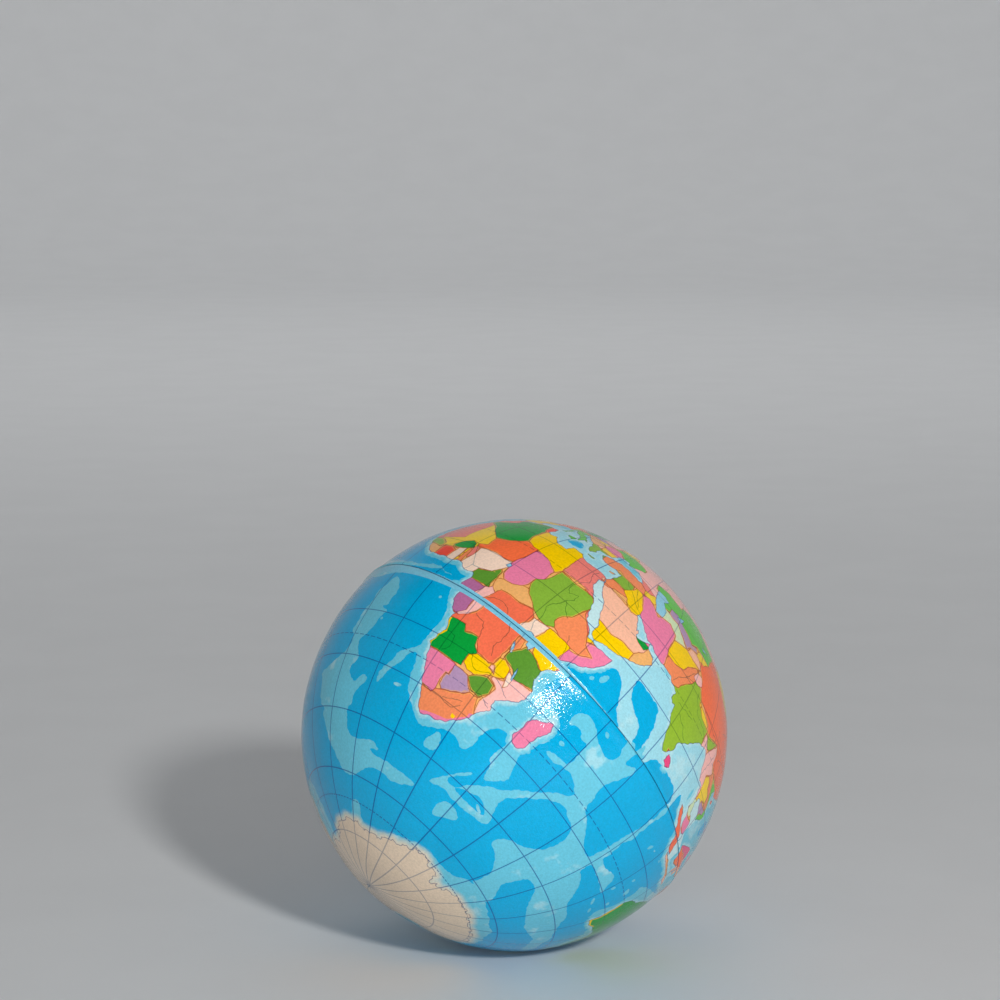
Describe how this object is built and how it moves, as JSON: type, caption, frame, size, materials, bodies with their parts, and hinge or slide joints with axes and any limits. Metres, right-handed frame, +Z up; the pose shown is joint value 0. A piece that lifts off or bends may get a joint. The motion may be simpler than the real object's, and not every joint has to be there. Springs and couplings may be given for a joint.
{
  "type": "stress ball",
  "caption": "Soft foam stress ball printed as a world globe, lying tipped on a small flat, with a low lipped seam round its equator.",
  "frame": {"origin": "middle of the small flat that the ball rests on, at table height", "axes": "+Z up from the table; the globe's north pole leans 55.7 degrees from +Z, towards 35.9 degrees from +X on the way to +Y"},
  "size_m": [0.076, 0.0758, 0.0768],
  "materials": {
    "foam": "open-cell polyurethane foam, matt, pale cream",
    "printed_film": "satin film with fine orange peel, printed with a political world map"
  },
  "bodies": {
    "lower": {"foam_core": "foam", "south_skin": "printed_film"},
    "upper": {"north_skin": "printed_film"}
  },
  "joints": [
    {"name": "squeeze", "type": "slide", "parent": "lower", "child": "upper", "axis": [0, 0, -1], "range_m": [0, 0.03], "stiffness_N_per_m": 1500, "deforming": ["foam_core", "north_skin", "south_skin"]}
  ]
}
